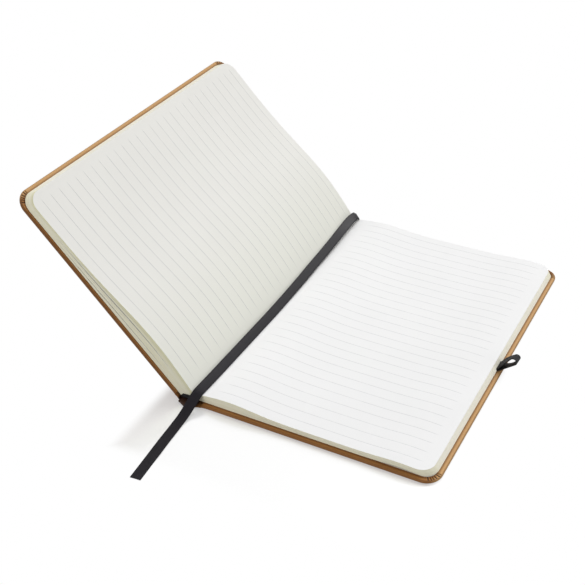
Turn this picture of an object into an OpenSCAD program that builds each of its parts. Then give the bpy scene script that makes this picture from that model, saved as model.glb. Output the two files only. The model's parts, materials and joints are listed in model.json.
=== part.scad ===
// Hardback notebook, lying open on its back cover with the front cover leaning up.
// X runs from the spine to the back cover's fore edge, Y from the tail to the head, Z is up.
// The origin is on the table under the middle of the spine. Sizes are in millimetres.

/* [Covers] */
// Length of the covers along the spine
cover_len = 210; // [180:1:260]
// Width of each cover, from its fold at the spine to the fore edge
cover_w = 139; // [120:1:170]
// Width of the flat spine strip between the two covers
spine_w = 10.2; // [9.6:0.1:12]
// Thickness of the grey board inside each cover
board_t = 1.2; // [0.8:0.1:2]
// Thickness of the leather
leather_t = 0.45; // [0.3:0.05:0.7]
// Width of the leather that is turned in over the edges of the boards
turn_in = 15; // [10:0.5:22]
// Corner radius of the covers at the fore edge
corner_r = 9; // [5:0.5:14]
// Width of the bare leather joint between a board and its fold
joint_w = 4; // [3:0.1:5]
// Outer radius of the fold that the front cover turns on
fold_r = 0.9; // [0.8:0.05:1.1]
// Space between that fold and what turns round it
fold_gap = 0.2; // [0.1:0.05:0.3]
// Angle at which the front cover leans up from the table
lean = 47.7; // [40:0.1:55]

/* [Spine] */
// Width of the card strip inside the spine
spine_board_w = 6.6; // [5:0.1:7.2]
// Thickness of that card strip
spine_board_t = 1; // [0.6:0.1:1.1]
// Thickness of the lining glued round the back of the pages
lining_t = 0.3; // [0.2:0.05:0.35]
// Layer of glue between the pages and that lining
glue_t = 0.05; // [0.03:0.01:0.08]
// Radius of the rounded back of the pages
foot_r = 8; // [6:0.5:10]
// Height of the bands at the head and the tail of the spine
band_h = 2.2; // [1.4:0.1:3]
// Thickness of those bands
band_t = 1.5; // [0.8:0.1:2]
// Reach of those bands from the round of the spine towards the back cover
band_right = 4.2; // [3:0.1:5]
// Distance of the lining's ends from the ends of the pages
lining_inset = 2; // [1:0.1:5]

/* [Endpapers] */
// Thickness of the paper pasted inside each cover
endpaper_t = 0.15; // [0.1:0.01:0.25]
// Leather left bare around the pasted paper
endpaper_margin = 3; // [2:0.1:6]

/* [Pages] */
// Distance of the pages from the edges of the covers
page_inset = 2.5; // [1.5:0.1:4]
// Corner radius of the pages at the fore edge
page_corner_r = 8; // [4:0.5:12]
// Thickness of the leaves lying on the back cover
back_leaf_t = 3.05; // [2:0.05:5]
// Thickness of the leaves leaning on the front cover
front_leaf_t = 4.5; // [3:0.1:6]
// Air between the leaves and the paper pasted in the covers
page_seat = 0.1; // [0.05:0.05:0.2]
// Slant of the fore edge of the leaves, from the bottom leaf to the top one
fore_slant = 2; // [0:0.1:4]
// Extra height of the leaves where they rise out of the gutter on the right
back_swell = 2.6; // [1:0.1:4]
// Distance of that rise from the middle of the spine
back_swell_at = 25; // [18:1:35]
// Half width of that rise
back_swell_half = 20; // [14:1:26]
// Lift of the right-hand leaves near their fore edge
back_lift = 1.02; // [0.4:0.02:1.6]
// Distance of that lift from the fore edge
back_lift_in = 21; // [16:1:30]
// Half width of that lift
back_lift_half = 14; // [10:1:18]
// Half width of the gap that it leaves under them
under_half = 12; // [9:1:16]
// Extra height of the fanned leaves on the left
front_fan = 5.9; // [3:0.1:8]
// Distance of the fan's highest place from the fold
front_fan_at = 33; // [26:1:42]
// Half width of the fan
front_fan_half = 42; // [34:1:50]
// Depth of the valley between the left and the right page
gutter_depth = 1.3; // [0.8:0.1:1.8]
// Distance of that valley from the fold of the back cover
gutter_in = 1.5; // [1:0.1:2]
// Half width of that valley
gutter_half = 1.4; // [1:0.1:2]
// Widest air gap between the leaves pressed on the front cover and the fan
lower_gap = 0.9; // [0.4:0.1:1.2]
// Share of the leaves that lie under that gap
lower_share = 0.24; // [0.15:0.01:0.35]
// Widest air gap inside the fan
upper_gap = 1.4; // [0.6:0.1:1.8]
// Share of the leaves that lie under it
upper_share = 0.62; // [0.5:0.01:0.75]
// Distance of the start of both gaps from the fold
gap_from = 12; // [8:1:20]
// Distance of their end from the fore edge of the pages
gap_end_in = 24.5; // [15:0.5:40]

/* [Pen loop] */
// Width of the elastic tape
tape_w = 7.5; // [5:0.5:12]
// Thickness of the elastic tape
tape_t = 0.6; // [0.4:0.05:0.8]
// Place of the loop along the cover, from its middle
loop_y = -4; // [-60:1:60]
// Length of the tape's two ends that are glued under the pages
tape_end = 10; // [6:1:16]
// Distance from the root of the loop to the middle of its round tip
loop_reach = 8.2; // [6:0.1:11]
// Outer radius of the loop's round tip
loop_r = 2.05; // [1.6:0.05:2.6]
// Angle at which the loop points up from the cover
loop_tilt = 43; // [30:1:55]
// Distance of the loop's root from the edge of the cover
root_in = 1.7; // [1:0.1:3]
// Half of the space between the two layers of tape at that root
root_gap = 0.12; // [0.08:0.01:0.2]

/* [Ribbon] */
// Width of the ribbon
ribbon_w = 6.2; // [4:0.1:8]
// Thickness of the ribbon
ribbon_t = 0.4; // [0.2:0.05:0.5]

/* [Hidden] */
$fn = 64;
EPS = 1;                                        // how far a cut runs past what it cuts

cover_t = board_t + 2 * leather_t;              // a cover at its turned-in edge
fold_x = fold_r * tan(lean / 2) - spine_w / 2;  // the front fold's axis, at height fold_r
back_x = spine_w / 2;                           // the back cover starts here
back_edge = back_x + cover_w;                   // the back cover ends here
board_top = leather_t + board_t;
board_slack = 0.2;                              // room between a board and its leather joint
wrap_start = sqrt(pow(fold_r + fold_gap, 2) - pow(fold_r - leather_t, 2));
seat = cover_t + endpaper_t + page_seat;        // underside of the leaves over a cover's outer face
page_len = cover_len - 2 * page_inset;
page_end = cover_w - page_inset;                // fore edge of the lowest leaf, from a cover's fold
fold_inner = fold_r - leather_t;

// The rounded back of the pages is an arc that touches both covers' leaves.
foot_s = (seat - fold_r + foot_r) * tan(lean / 2);  // where it starts, from the fold of either cover
foot_x = fold_x + foot_s;
foot_z = seat + foot_r;
lining_gap = 0.4;                               // between the lining and the pasted paper
lining_r = foot_r + glue_t;
lining_turn = lean - asin((foot_s - joint_w + lining_gap) / (lining_r + lining_t));
lining_right = back_x + joint_w - foot_x - lining_gap;

gutter_x = back_x - gutter_in;
gutter_left = 1;                                // how far the left page runs past its fold
tall = seat + front_leaf_t + front_fan + foot_r;  // above every leaf
STEPS = 26;                                     // straight stretches in each curved page
GAP_STEPS = 14;
FOOT_STEPS = 8;

tape_top = cover_t + 2 * tape_t;
root_r = tape_t + root_gap;                     // outer radius at the root of the loop
root = [back_edge - root_in, cover_t + root_r];
tape_room = 0.3;                                // room round the tape in the paper and the leaves

// Middle line of the ribbon in three runs. Each point holds its X, its Y, the share of the page's
// height that it follows, its height over that, and the ribbon's roll about the line.
// At the head and the tail, Y counts from the end of the pages. Between them it is a share of
// half their length.
RIBBON_HEAD = [
    [3, 2.1, 0, 2.8, 0], [3.1, 2.3, 0.25, 3.2, 0], [3.3, 2.2, 0.5, 3.7, 0], [3.6, 1.5, 0.8, 3.8, 0],
    [3.9, -0.1, 1, 4.1, 4], [4.2, -2.9, 1, 4.9, 12], [4.4, -7, 1, 5, 20], [4.5, -12.5, 1, 4.8, 24]];
RIBBON_RUN = [
    [4.6, 0.81, 1, 4.4, 20], [4.8, 0.72, 1, 3.9, 14], [5.1, 0.6, 1, 3.3, 12], [5.4, 0.47, 1, 2.8, 12],
    [5.7, 0.32, 1, 2.4, 12], [6.1, 0.17, 1, 1.9, 11], [6.4, 0, 1, 1.6, 10], [6.6, -0.18, 1, 1.4, 10],
    [6.5, -0.35, 1, 1.3, 10], [6.4, -0.53, 1, 1.3, 10], [6.3, -0.69, 1, 1.3, 10],
    [6.2, -0.84, 1, 1.3, 10]];
RIBBON_TAIL = [
    [6, 6.5, 1, 1.3, 9], [5.8, 1, 1, 1.1, 7], [5.5, -3, 0.75, 1.3, 5], [5.2, -7, 0.5, 1, 3],
    [4.9, -11, 0.25, 0.7, 2], [4.7, -15, 0, 1, 0], [4.7, -19.5, 0, 0.4, 0], [5.1, -25.5, 0, 0.3, 0],
    [5.7, -34.5, 0, 0.3, 0], [6.5, -43.5, 0, 0.3, 0], [7.2, -52, 0, 0.3, 0], [7.7, -58, 0, 0.3, 0],
    [8.1, -63, 0, 0.3, 0]];

// A smooth bump of height 1 at a distance, fading over its half width.
function hump(x, at, half) = exp(-pow((x - at) / half, 2));
// A place over the front cover, from its distance from the fold and its height over the outer face.
function front(s, h) = [fold_x - s * cos(lean) + (h - fold_r) * sin(lean),
                        fold_r + s * sin(lean) + (h - fold_r) * cos(lean)];
function front_top(s) = seat + front_leaf_t + front_fan * hump(s, front_fan_at, front_fan_half);
function back_top(x) = seat + back_leaf_t + back_swell * hump(x, back_swell_at, back_swell_half)
                     + back_lift * hump(x, back_edge - back_lift_in, back_lift_half);
function back_under(x) = seat + back_lift * hump(x, back_edge - back_lift_in, under_half);
function backwards(v) = [for (i = [len(v) - 1:-1:0]) v[i]];
// A line parallel to the rounded back of the pages, from right to left, through an angle.
function foot_line(r, right, turn) = concat(
    right > 0 ? [[foot_x + right, foot_z - r]] : [],
    [for (i = [0:FOOT_STEPS]) let (a = turn * i / FOOT_STEPS) [foot_x - r * sin(a), foot_z - r * cos(a)]]);

// Flat plate from x0 to x1 with round corners at x1, and heights z0 to z1.
module plate(x0, x1, width, r, z0, z1) {
    translate([0, 0, z0]) linear_extrude(z1 - z0) {
        translate([x0, -width / 2]) square([x1 - r - x0, width]);
        translate([x0, r - width / 2]) square([x1 - x0, width - 2 * r]);
        for (m = [-1, 1]) translate([x1 - r, m * (width / 2 - r)]) circle(r);
    }
}

// Square-cornered block, centred along Y.
module block(x0, x1, width, z0, z1) {
    translate([x0, -width / 2, z0]) cube([x1 - x0, width, z1 - z0]);
}

// Draws in the X and Z plane, and gives the shape a length along Y.
module along_y(length) {
    rotate([90, 0, 0]) translate([0, 0, -length / 2]) linear_extrude(length) children();
}

// Puts a cover drawn flat, with its width along +X, where the front cover leans.
module leaning() {
    translate([fold_x, 0, fold_r]) rotate([0, lean, 0]) translate([0, 0, -fold_r])
        rotate([0, 0, 180]) children();
}

// Board of one cover, and with a slack the room for it, which starts that much nearer the spine.
module board(x0, x1, slack = 0) {
    plate(x0 + joint_w - slack, x1 - leather_t, cover_len - 2 * leather_t, corner_r - leather_t,
          leather_t, board_top);
}

// Leather round one board: outer face, wrapped edges and turn-ins. It starts at x_start.
module wrap(x_start, x0, x1) {
    difference() {
        plate(x_start, x1, cover_len, corner_r, 0, cover_t);
        board(x0, x1, board_slack);
        block(x0 + joint_w - EPS, x1 - turn_in, cover_len - 2 * turn_in, board_top, cover_t + EPS);
        block(x_start - EPS, x0 + joint_w, cover_len - 2 * turn_in, leather_t, cover_t + EPS);
        block(x_start - EPS, x0 + joint_w, cover_len + EPS, 2 * leather_t, cover_t + EPS);
    }
}

// Paper pasted over the board and the turn-ins, stepping down inside them.
module endpaper(x0, x1) {
    inner = x1 - turn_in;
    inner_w = cover_len - 2 * turn_in;
    difference() {
        union() {
            plate(x0 + joint_w, x1 - endpaper_margin, cover_len - 2 * endpaper_margin,
                  corner_r - endpaper_margin, cover_t, cover_t + endpaper_t);
            block(x0 + joint_w, inner, inner_w, board_top, cover_t + endpaper_t);
        }
        block(x0 + joint_w - EPS, inner - endpaper_t, inner_w - 2 * endpaper_t,
              board_top + endpaper_t, cover_t + endpaper_t + EPS);
    }
}

module spine_board() {
    color([0.62, 0.60, 0.56])
        block(-spine_board_w / 2, spine_board_w / 2, cover_len - 2 * leather_t,
              leather_t, leather_t + spine_board_t);
}

module back_board() {
    color([0.62, 0.60, 0.56]) board(back_x, back_edge);
}

module back_leather() {
    spine_top = leather_t + spine_board_t + leather_t;
    color([0.74, 0.58, 0.40]) {
        union() {
            wrap(spine_board_w / 2, back_x, back_edge);
            // under the spine strip, and turned in over its two ends
            difference() {
                block(fold_x, spine_board_w / 2, cover_len, 0, spine_top);
                block(-spine_board_w / 2, spine_board_w / 2, cover_len - 2 * leather_t,
                      leather_t, leather_t + spine_board_t);
                block(fold_x - EPS, spine_board_w / 2 + EPS, cover_len - 2 * turn_in,
                      leather_t, spine_top + EPS);
                block(fold_x - EPS, -spine_board_w / 2, cover_len + EPS,
                      2 * leather_t, spine_top + EPS);
            }
            // round the fold that the front cover turns on
            translate([fold_x, 0, fold_r]) along_y(cover_len) intersection() {
                difference() {
                    circle(fold_r);
                    circle(fold_inner);
                }
                polygon([[0, 0], [0, -2 * fold_r], [-2 * fold_r * tan(lean), -2 * fold_r]]);
            }
        }
    }
}

module back_endpaper() {
    color([0.95, 0.94, 0.90]) difference() {
        endpaper(back_x, back_edge);
        tape_cut(root[0] - tape_end - tape_room, cover_t - EPS, cover_t + endpaper_t + EPS);
    }
}

// Room for the glued ends of the elastic tape, out to the fore edge.
module tape_cut(x0, z0, z1) {
    translate([x0, loop_y - tape_w / 2 - tape_room, z0])
        cube([back_edge + EPS - x0, tape_w + 2 * tape_room, z1 - z0]);
}

// Outline round two circles of different size, a distance apart along +X.
module drop(r0, r1, reach) {
    a = acos((r0 - r1) / reach);
    circle(r0);
    translate([reach, 0]) circle(r1);
    polygon([r0 * [cos(a), sin(a)], r0 * [cos(a), -sin(a)],
             [reach, 0] + r1 * [cos(a), -sin(a)], [reach, 0] + r1 * [cos(a), sin(a)]]);
}

// Elastic tape, its two ends glued flat together under the pages.
module pen_loop() {
    color([0.10, 0.10, 0.11]) translate([0, loop_y, 0]) along_y(tape_w) difference() {
        union() {
            translate(root) rotate(loop_tilt) drop(root_r, loop_r, loop_reach);
            translate([root[0] - tape_end, cover_t]) square([tape_end, tape_top - cover_t]);
        }
        translate(root) rotate(loop_tilt)
            drop(root_r - tape_t, loop_r - tape_t, loop_reach);
    }
}

// One long gap between the leaves on the left, at a share of their height.
module leaf_gap(share, width) {
    reach = page_end - gap_end_in - gap_from;
    mid = [for (i = [0:GAP_STEPS]) let (s = gap_from + reach * i / GAP_STEPS)
           [s, seat + share * (front_top(s) - seat), width / 2 * sin(180 * i / GAP_STEPS)]];
    along_y(cover_len) polygon(concat(
        [for (p = mid) front(p[0], p[1] + p[2])],
        backwards([for (i = [1:GAP_STEPS - 1]) front(mid[i][0], mid[i][1] - mid[i][2])])));
}

// All the leaves as one solid: the left-hand ones lean on the front cover in a fan.
module text_block() {
    left_end = page_end - fore_slant;
    right_end = back_edge - page_inset - fore_slant;
    left_start = -gutter_left;
    right_start = gutter_x + gutter_half;
    under_start = back_edge - back_lift_in - 3 * under_half;
    top_left = [for (i = [0:STEPS]) let (s = left_end + (left_start - left_end) * i / STEPS)
                front(s, front_top(s))];
    top_right = [for (i = [0:STEPS]) let (x = right_start + (right_end - right_start) * i / STEPS)
                 [x, back_top(x)]];
    under = [for (i = [0:STEPS]) let (x = back_edge - page_inset
             + (under_start - back_edge + page_inset) * i / STEPS) [x, back_under(x)]];
    outline = concat(top_left, [[gutter_x, back_top(gutter_x) - gutter_depth]], top_right, under,
                     foot_line(foot_r, 0, lean), [front(page_end, seat)]);
    color([0.94, 0.93, 0.89]) difference() {
        intersection() {
            along_y(page_len) polygon(outline);
            union() {
                plate(gutter_x - foot_r, back_edge - page_inset, page_len, page_corner_r, 0, tall);
                leaning() plate(-foot_r, page_end, page_len, page_corner_r, 0, tall);
            }
        }
        leaf_gap(lower_share, lower_gap);
        leaf_gap(upper_share, upper_gap);
        tape_cut(root[0] - tape_end - tape_room, 0, tape_top + tape_room / 2);
    }
}

module spine_lining() {
    color([0.90, 0.88, 0.82]) along_y(page_len - 2 * lining_inset) polygon(concat(
        foot_line(lining_r + lining_t, lining_right, lining_turn),
        backwards(foot_line(lining_r, lining_right, lining_turn))));
}

// Woven band across one end of the spine.
module spine_band(side) {
    color([0.09, 0.09, 0.10]) translate([0, side * (page_len + band_t) / 2, 0]) along_y(band_t)
        polygon(concat(foot_line(foot_r, band_right, lean),
                       backwards(foot_line(foot_r - band_h, band_right, lean))));
}

module head_band() {
    spine_band(1);
}

module tail_band() {
    spine_band(-1);
}

// Flat ribbon swept along its middle line.
module ribbon_marker() {
    half_len = page_len / 2;
    route = concat([for (p = RIBBON_HEAD) [p[0], half_len + p[1], p[2] * back_top(p[0]) + p[3], p[4]]],
                   [for (p = RIBBON_RUN) [p[0], half_len * p[1], p[2] * back_top(p[0]) + p[3], p[4]]],
                   [for (p = RIBBON_TAIL) [p[0], p[1] - half_len, p[2] * back_top(p[0]) + p[3], p[4]]]);
    n = len(route);
    mid = [for (p = route) [p[0], p[1], p[2]]];
    along = [for (i = [0:n - 1]) let (d = mid[min(i + 1, n - 1)] - mid[max(i - 1, 0)]) d / norm(d)];
    // across the ribbon: level at first, then rolled so that its left edge rises
    across = [for (i = [0:n - 1]) let (r = route[i][3], v = cross(along[i], cross([cos(r), 0, -sin(r)],
              along[i]))) v / norm(v)];
    face = [for (i = [0:n - 1]) cross(across[i], along[i])];
    half = ribbon_w / 2;
    rim = half - ribbon_t / 2;
    section = [[half, 0], [rim, 0.5], [-rim, 0.5], [-half, 0], [-rim, -0.5], [rim, -0.5]];
    k = len(section);
    points = [for (i = [0:n - 1]) for (q = section) mid[i] + q[0] * across[i] + q[1] * ribbon_t * face[i]];
    sides = [for (i = [0:n - 2]) for (j = [0:k - 1])
             let (a = i * k + j, b = i * k + (j + 1) % k, c = a + k, d = b + k)
             for (triangle = [[a, b, d], [a, d, c]]) triangle];
    first = [for (j = [1:k - 2]) [0, j + 1, j]];
    last = [for (j = [1:k - 2]) (n - 1) * k * [1, 1, 1] + [0, j, j + 1]];
    color([0.13, 0.12, 0.13]) polyhedron(points, concat(sides, first, last));
}

module front_board() {
    color([0.62, 0.60, 0.56]) leaning() board(0, cover_w);
}

module front_leather() {
    color([0.74, 0.58, 0.40]) leaning() wrap(wrap_start, 0, cover_w);
}

module front_endpaper() {
    color([0.95, 0.94, 0.90]) leaning() endpaper(0, cover_w);
}

back_board();
spine_board();
back_leather();
back_endpaper();
pen_loop();
text_block();
spine_lining();
head_band();
tail_band();
ribbon_marker();
front_board();
front_leather();
front_endpaper();
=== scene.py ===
"""Leather notebook, lying open on its back cover: the looks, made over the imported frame.

Sizes are in millimetres in the part's own frame: X runs from the spine to the back cover's
fore edge, Y along the spine from tail to head, and Z up from the table. A mesh turns them into
metres when it is made.
"""

import json
import logging
import math
from dataclasses import dataclass
from enum import Enum
from typing import Any, Dict, List, Mapping, Optional, Sequence, Tuple, Union

import bmesh
import bpy
import numpy as np
from mathutils import Matrix, Vector

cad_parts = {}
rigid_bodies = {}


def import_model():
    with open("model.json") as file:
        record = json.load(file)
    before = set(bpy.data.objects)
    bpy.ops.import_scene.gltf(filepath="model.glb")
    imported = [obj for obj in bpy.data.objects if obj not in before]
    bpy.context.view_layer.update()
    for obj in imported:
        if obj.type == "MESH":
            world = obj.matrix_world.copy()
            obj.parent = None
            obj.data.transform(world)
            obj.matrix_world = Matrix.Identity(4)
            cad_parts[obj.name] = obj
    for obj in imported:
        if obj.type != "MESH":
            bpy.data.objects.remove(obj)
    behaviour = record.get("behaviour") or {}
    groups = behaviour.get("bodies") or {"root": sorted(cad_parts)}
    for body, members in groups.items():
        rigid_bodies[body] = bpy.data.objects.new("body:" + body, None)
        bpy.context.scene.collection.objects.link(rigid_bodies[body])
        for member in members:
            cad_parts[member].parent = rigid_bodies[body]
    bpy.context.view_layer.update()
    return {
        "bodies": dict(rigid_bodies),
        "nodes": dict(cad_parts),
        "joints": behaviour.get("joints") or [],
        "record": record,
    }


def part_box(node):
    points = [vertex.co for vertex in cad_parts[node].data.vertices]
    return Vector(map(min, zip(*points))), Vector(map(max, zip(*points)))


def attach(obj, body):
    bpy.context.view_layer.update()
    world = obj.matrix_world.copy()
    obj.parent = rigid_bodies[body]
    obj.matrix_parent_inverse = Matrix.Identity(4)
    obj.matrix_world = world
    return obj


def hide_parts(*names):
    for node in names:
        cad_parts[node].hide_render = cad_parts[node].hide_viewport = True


LOG = logging.getLogger("notebook")
MM = 0.001

Triple = Tuple[float, float, float]
Colour = Triple
Pair = Tuple[float, float]
Row = Tuple[float, ...]
Array = np.ndarray
WHITE: Colour = (1.0, 1.0, 1.0)


def linear(red: int, green: int, blue: int) -> Colour:
    """Turns a colour as a screen shows it into the linear values that shaders take.

    Args:
        red: Red, 0 to 255.
        green: Green, 0 to 255.
        blue: Blue, 0 to 255.

    Returns:
        The three linear values, 0 to 1.
    """
    full, toe, slope, offset, power = 255, 0.04045, 12.92, 0.055, 2.4

    def one(value: float) -> float:
        """Linear value of one channel."""
        return value / slope if value <= toe else ((value + offset) / (1 + offset)) ** power
    return one(red / full), one(green / full), one(blue / full)


def ease(value: Array, low: float, high: float) -> Array:
    """Smooth step from 0 at low to 1 at high."""
    share = np.clip((np.asarray(value, float) - low) / (high - low), 0, 1)
    return share * share * (3 - 2 * share)


def hump(value: Array, at: float, half: float) -> Array:
    """Smooth bump of height 1, fading over its half width."""
    return np.exp(-((np.asarray(value, float) - at) / half) ** 2)


def points_of(*parts: Any) -> Array:
    """Points from their parts, each an array or a single number."""
    return np.stack(np.broadcast_arrays(*parts), -1)


def unit(vectors: Array) -> Array:
    """Vectors made 1 long."""
    return vectors / np.linalg.norm(vectors, axis=-1, keepdims=True)


def travelled(points: Array) -> Array:
    """Distance along a line, at each of its points."""
    return np.concatenate([[0], np.cumsum(np.linalg.norm(np.diff(points, axis=0), axis=1))])


def smooth_line(points: Array, steps: int) -> Array:
    """Runs a smooth curve through points, with the same number of steps between each two.

    Args:
        points: One row per point, with any number of columns.
        steps: Steps between two points.

    Returns:
        The rows of the curve, the given points among them.
    """
    ends = np.vstack([2 * points[0] - points[1], points, 2 * points[-1] - points[-2]])
    share = np.linspace(0, 1, steps, endpoint=False)[:, None]
    runs = []
    for a, b, c, d in zip(ends, ends[1:], ends[2:], ends[3:]):
        runs.append((2 * b + (c - a) * share + (2 * a - 5 * b + 4 * c - d) * share ** 2
                     + (3 * b - a - 3 * c + d) * share ** 3) / 2)
    return np.vstack(runs + [points[-1:]])


def bezier(start: Array, out: Array, into: Array, end: Array, count: int) -> Array:
    """Points of one Bezier curve, its first point left out.

    Args:
        start: Where it starts.
        out: Handle of the start.
        into: Handle of the end.
        end: Where it ends.
        count: Number of points.

    Returns:
        One row per point.
    """
    share = np.linspace(0, 1, count + 1)[1:, None]
    rest = 1 - share
    return (rest ** 3 * start + 3 * rest ** 2 * share * out + 3 * rest * share ** 2 * into
            + share ** 3 * end)


def tape_section(width: float, thick: float, rim: float, dish: float = 0.0,
                 count: int = 9) -> List[Pair]:
    """Cross-section of a tape, round it once and back to its first point.

    Args:
        width: Width of the tape.
        thick: Its thickness.
        rim: Width of each rounded side.
        dish: How much thinner its middle is, as a share of the thickness.
        count: Points across each face.

    Returns:
        Each point's place across the tape and over its middle.
    """
    side = width / 2
    face = [(k, thick / 2 * (1.0 - dish * math.cos(math.pi * k / (side - rim))))
            for k in np.linspace(side - rim, rim - side, count)]
    return [(side, 0.0)] + face + [(-side, 0.0)] + [(-a, -b) for a, b in face] + [(side, 0.0)]


class Stack(Enum):
    """The two halves of the open leaves."""

    LEFT = "left"
    RIGHT = "right"


class Face(Enum):
    """Material slots of the leaves."""

    PAGE = 0
    EDGE = 1
    PLAIN = 2


class Socket:
    """One output of a shader node, which takes part in sums as a number does."""

    def __init__(self, graph: "Graph", output: bpy.types.NodeSocket) -> None:
        """Keeps the graph and the output."""
        self.graph = graph
        self.output = output

    def __add__(self, other: "Term") -> "Socket":
        """Sum."""
        return self.graph.sum_of("ADD", self, other)

    def __radd__(self, other: "Term") -> "Socket":
        """Sum, the number first."""
        return self.graph.sum_of("ADD", other, self)

    def __sub__(self, other: "Term") -> "Socket":
        """Difference."""
        return self.graph.sum_of("SUBTRACT", self, other)

    def __rsub__(self, other: "Term") -> "Socket":
        """Difference, the number first."""
        return self.graph.sum_of("SUBTRACT", other, self)

    def __mul__(self, other: "Term") -> "Socket":
        """Product."""
        return self.graph.sum_of("MULTIPLY", self, other)

    def __rmul__(self, other: "Term") -> "Socket":
        """Product, the number first."""
        return self.graph.sum_of("MULTIPLY", other, self)

    def __truediv__(self, other: "Term") -> "Socket":
        """Quotient."""
        return self.graph.sum_of("DIVIDE", self, other)

    def __rtruediv__(self, other: "Term") -> "Socket":
        """Quotient, the number first."""
        return self.graph.sum_of("DIVIDE", other, self)

    def step(self, low: float, high: float) -> "Socket":
        """Smooth step from 0 at low to 1 at high; low may be the larger."""
        return self.graph.node("ShaderNodeMapRange", {"interpolation_type": "SMOOTHSTEP"},
                               {"Value": self, "From Min": low, "From Max": high})

    def use(self, operation: str, other: "Term" = 0.0) -> "Socket":
        """Any other Math operation on this value."""
        return self.graph.sum_of(operation, self, other)


Term = Union[Socket, float]


class Graph:
    """The node tree of a material or of the world."""

    def __init__(self, owner: Union[bpy.types.Material, bpy.types.World]) -> None:
        """Empties the tree of a new material or world.

        Args:
            owner: The material or world.
        """
        self.owner = owner
        owner.use_nodes = True
        self.tree = owner.node_tree
        self.tree.nodes.clear()

    @classmethod
    def of_material(cls, name: str) -> "Graph":
        """The tree of a new material."""
        return cls(bpy.data.materials.new(name))

    def node(self, kind: str, settings: Optional[Mapping[str, Any]] = None,
             inputs: Optional[Mapping[Union[str, int], Any]] = None,
             output: Union[str, int] = 0) -> Socket:
        """Adds one node.

        Args:
            kind: The node's type.
            settings: Its own settings, set first.
            inputs: Values or links of its sockets, by name or number.
            output: The output to give back, by name or number.

        Returns:
            The wanted output.
        """
        made = self.tree.nodes.new(kind)
        for key, value in (settings or {}).items():
            setattr(made, key, value)
        for key, value in (inputs or {}).items():
            if isinstance(value, Socket):
                self.tree.links.new(value.output, made.inputs[key])
            else:
                made.inputs[key].default_value = self._filled(made.inputs[key], value)
        return Socket(self, made.outputs[output])

    @staticmethod
    def _filled(socket: bpy.types.NodeSocket, value: Any) -> Any:
        """A value for a socket, a colour with its fourth part added."""
        return (*value, 1.0) if socket.type == "RGBA" else value

    def sum_of(self, operation: str, first: Term, second: Term) -> Socket:
        """One Math node on two values."""
        return self.node("ShaderNodeMath", {"operation": operation}, {0: first, 1: second})

    def mix(self, share: Term, first: Any, second: Any) -> Socket:
        """Blend of two colours."""
        return self.node("ShaderNodeMix", {"data_type": "RGBA"}, {0: share, 6: first, 7: second}, 2)

    def blend(self, share: Term, first: Socket, second: Socket) -> Socket:
        """Blend of two shaders."""
        return self.node("ShaderNodeMixShader", None, {0: share, 1: first, 2: second})

    def white_light(self, kind: str, strength: float) -> Socket:
        """An emission or a background of plain white."""
        return self.node(kind, None, {"Color": WHITE, "Strength": strength})

    def place(self) -> Socket:
        """The point in the part's own frame, in metres."""
        return self.node("ShaderNodeTexCoord", output="Object")

    def flat(self) -> Socket:
        """The point on the piece as it was laid out flat, in metres."""
        return self.node("ShaderNodeUVMap", {"uv_map": "flat"})

    def parts_of(self, vector: Socket) -> Tuple[Socket, Socket, Socket]:
        """The three parts of a vector."""
        outputs = self.node("ShaderNodeSeparateXYZ", None, {0: vector}).output.node.outputs
        return Socket(self, outputs[0]), Socket(self, outputs[1]), Socket(self, outputs[2])

    def stretched(self, vector: Socket, factors: Triple) -> Socket:
        """A vector with each part multiplied."""
        return self.node("ShaderNodeVectorMath", {"operation": "MULTIPLY"}, {0: vector, 1: factors})

    def noise(self, vector: Socket, scale: float, detail: float = 3.0,
              roughness: float = 0.5) -> Socket:
        """Soft noise, 0 to 1."""
        return self.node("ShaderNodeTexNoise", None,
                         {"Vector": vector, "Scale": scale, "Detail": detail, "Roughness": roughness})

    def cell_rims(self, vector: Socket, scale: float) -> Socket:
        """Distance from the rims between cells."""
        return self.node("ShaderNodeTexVoronoi", {"feature": "DISTANCE_TO_EDGE"},
                         {"Vector": vector, "Scale": scale}, "Distance")

    def swing(self, run: Socket, pitch: float, wave: str = "SINE") -> Socket:
        """Even waves from -1 to 1 along a run in metres, a pitch in millimetres apart."""
        return (run * (math.tau / (pitch * MM))).use(wave)

    def mark(self, name: str) -> Socket:
        """A value that the mesh carries at its points."""
        return self.node("ShaderNodeAttribute", {"attribute_name": name}, output="Fac")

    def bump(self, height: Socket, depth_mm: float, strength: float) -> Socket:
        """Bump of a height, in millimetres at full height."""
        return self.node("ShaderNodeBump", None,
                         {"Height": height, "Distance": depth_mm * MM, "Strength": strength})

    def close(self, shader: Socket, kind: str = "ShaderNodeOutputMaterial") -> Any:
        """Joins a shader to the tree's output.

        Args:
            shader: The shader.
            kind: Type of the output node.

        Returns:
            The finished material or world.
        """
        made = self.tree.nodes.new(kind)
        self.tree.links.new(shader.output, made.inputs["Surface"])
        return self.owner


@dataclass(frozen=True)
class Finish:
    """What all finishes have: roughness, mirror share, and depth and strength of the relief."""

    name: str = ""
    rough: float = 0.5
    shine: float = 0.5
    relief: float = 0.05
    relief_share: float = 0.5

    def close(self, g: Graph, colour: Socket, height: Socket,
              rough: Optional[Socket] = None) -> bpy.types.Material:
        """Closes a finish's tree with its surface.

        Args:
            g: The graph.
            colour: The colour.
            height: Height of the relief, 0 to 1.
            rough: The roughness where it varies.

        Returns:
            The finished material.
        """
        inputs = {"Base Color": colour, "Roughness": self.rough if rough is None else rough,
                  "Specular IOR Level": self.shine,
                  "Normal": g.bump(height, self.relief, self.relief_share)}
        return g.close(g.node("ShaderNodeBsdfPrincipled", None, inputs))


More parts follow.
